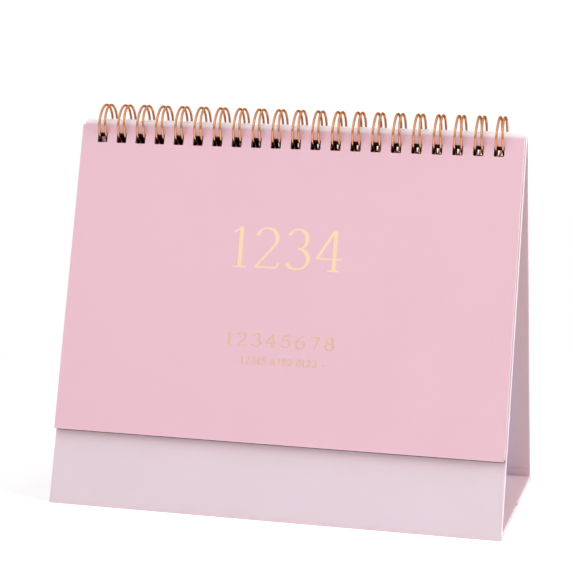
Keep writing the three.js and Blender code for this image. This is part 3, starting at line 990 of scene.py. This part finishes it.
class CALENDAR_OT_stage(bpy.types.Operator):
    """White floor, soft lamps and the camera"""

    bl_idname = "calendar.stage"
    bl_label = "Stage, lamps and camera"

    azimuth = 14.24
    elevation = 7.33
    roll = 0.72
    distance = 790.07 * MM
    target = Vector((-5.99, 0, 120.9)) * MM
    lens = 117.913
    shift_y = -0.1335

    floor_reach = 4.0
    floor_lift = 0.26
    shadow_near, shadow_far = 0.1, 0.32

    surround_level = 0.28
    mirror_window = 1.14
    mirror_horizon = 0.38
    mirror_behind = 0.8
    window_rise = 0.1, 0.36
    front_rise = -0.2, -0.7
    aim = Vector((0, 0, 0.08))

    # Name, place and size in metres, and power in watts.
    lamps = (
        ("steep key", (-0.35, -0.75, 1.5), 1.2, 13.2),
        ("left fill", (-1.2, -0.9, 0.7), 0.8, 2.2),
        ("low side", (1.5, -0.4, 0.3), 0.7, 10.4),
        ("upper side", (1.2, 0.1, 1.0), 0.7, 10.4),
        ("back", (0.0, 0.7, 1.4), 1.0, 4.0),
    )

    def execute(self, context):
        self.lay_floor()
        self.surround()
        self.hang_lamps()
        self.set_camera()
        return {"FINISHED"}

    def lay_floor(self):
        """A white floor that keeps the soft shadow near the stand and turns pure white further out."""
        reach = self.floor_reach
        mesh = bpy.data.meshes.new("floor")
        mesh.from_pydata([(-reach, -reach, 0), (reach, -reach, 0), (reach, reach, 0), (-reach, reach, 0)],
                         [], [(0, 1, 2, 3)])
        made, tree, shader = new_material("Seamless_white_paper")
        feed(tree, shader, {"Base Color": linear(colours().floor), "Roughness": 0.9,
                            "Specular IOR Level": 0.0})
        seen = add_node(tree, "ShaderNodeLightPath").outputs["Is Camera Ray"]
        lift = add_node(tree, "ShaderNodeMath", {0: seen, 1: self.floor_lift}, operation="MULTIPLY")
        glow = add_node(tree, "ShaderNodeEmission", {"Strength": lift})
        near = add_node(tree, "ShaderNodeAddShader", {0: shader, 1: glow})
        far = add_node(tree, "ShaderNodeEmission", {"Strength": 1.0})
        place = add_node(tree, "ShaderNodeTexCoord").outputs["Object"]
        away = add_node(tree, "ShaderNodeVectorMath", {0: place}, operation="LENGTH")
        fade = smooth_step(tree, away.outputs["Value"], self.shadow_near, self.shadow_far)
        white = add_node(tree, "ShaderNodeMath", {0: fade, 1: seen}, operation="MULTIPLY")
        both = add_node(tree, "ShaderNodeMixShader", {0: white, 1: near, 2: far})
        feed(tree, tree.nodes["Material Output"], {"Surface": both})
        mesh.materials.append(made)
        add_object("floor", mesh)

    def surround(self):
        """A white surround, and for metal a bright window in front over a darker horizon."""
        world = bpy.data.worlds.new("studio")
        world.use_nodes = True
        tree = world.node_tree
        rays = add_node(tree, "ShaderNodeLightPath").outputs
        way = add_node(tree, "ShaderNodeTexCoord").outputs["Generated"]
        parts = add_node(tree, "ShaderNodeSeparateXYZ", {0: way}).outputs
        level = self.mirror_window
        for share, otherwise in (
            (smooth_step(tree, parts["Z"], *self.window_rise), self.mirror_horizon),
            (smooth_step(tree, parts["Y"], *self.front_rise), self.mirror_behind),
            (rays["Is Glossy Ray"], self.surround_level),
        ):
            level = add_node(tree, "ShaderNodeMix", {"Factor": share, "A": otherwise, "B": level})
        level = add_node(tree, "ShaderNodeMix", {"Factor": rays["Is Camera Ray"], "A": level, "B": 1.0})
        feed(tree, tree.nodes["Background"], {"Strength": level, "Color": linear("FFFFFF")})
        bpy.context.scene.world = world

    def hang_lamps(self):
        """Large soft lamps that the metal doesn't mirror."""
        for name, place, size, power in self.lamps:
            data = bpy.data.lights.new(name, "AREA")
            data.size = size
            data.energy = power
            lamp = add_object(name, data)
            lamp.location = place
            lamp.visible_glossy = False
            lamp.rotation_euler = (self.aim - lamp.location).to_track_quat("-Z", "Y").to_euler()

    def set_camera(self):
        """The camera that was fitted to the photograph's points, with its small roll."""
        azimuth, elevation = math.radians(self.azimuth), math.radians(self.elevation)
        back = Vector((math.sin(azimuth) * math.cos(elevation), -math.cos(azimuth) * math.cos(elevation),
                       math.sin(elevation)))
        data = bpy.data.cameras.new("camera")
        data.lens = self.lens
        data.sensor_width = 36
        data.shift_y = self.shift_y
        data.clip_start, data.clip_end = 0.01, 20
        camera = add_object("camera", data)
        facing = (-back).to_track_quat("-Z", "Y").to_matrix()
        rolled = facing @ Matrix.Rotation(math.radians(self.roll), 3, "Z")
        camera.matrix_world = Matrix.Translation(self.target + back * self.distance) @ rolled.to_4x4()
        bpy.context.scene.camera = camera


class CALENDAR_PT_panel(bpy.types.Panel):
    """Buttons for the pieces, in the order in which they are made"""

    bl_idname = "CALENDAR_PT_panel"
    bl_label = "Desk calendar"
    bl_space_type = "VIEW_3D"
    bl_region_type = "UI"
    bl_category = "Calendar"

    def draw(self, context):
        for operator in operators:
            self.layout.operator(operator.bl_idname)
        for group in (context.scene.calendar_sizes, context.scene.calendar_colours):
            for name in group.bl_rna.properties.keys():
                if name not in ("rna_type", "name"):
                    self.layout.prop(group, name)


operators = (
    CALENDAR_OT_stage,
    CALENDAR_OT_boards,
    CALENDAR_OT_fold_papers,
    CALENDAR_OT_pad,
    CALENDAR_OT_month_print,
    CALENDAR_OT_foil,
    CALENDAR_OT_wire,
    CALENDAR_OT_linings,
)


def register():
    for made in (CalendarSizes, CalendarColours, *operators, CALENDAR_PT_panel):
        bpy.utils.register_class(made)
    bpy.types.Scene.calendar_sizes = PointerProperty(type=CalendarSizes)
    bpy.types.Scene.calendar_colours = PointerProperty(type=CalendarColours)


def unregister():
    del bpy.types.Scene.calendar_colours
    del bpy.types.Scene.calendar_sizes
    for made in (CALENDAR_PT_panel, *reversed(operators), CalendarColours, CalendarSizes):
        bpy.utils.unregister_class(made)


def main():
    register()
    bpy.context.scene.view_settings.view_transform = "Standard"
    bpy.ops.calendar.stage()
    bpy.ops.calendar.boards()
    bpy.ops.calendar.fold_papers()
    bpy.ops.calendar.pad()
    bpy.ops.calendar.month_print()
    bpy.ops.calendar.foil()
    bpy.ops.calendar.wire()
    bpy.ops.calendar.linings()


if __name__ == "__main__":
    main()
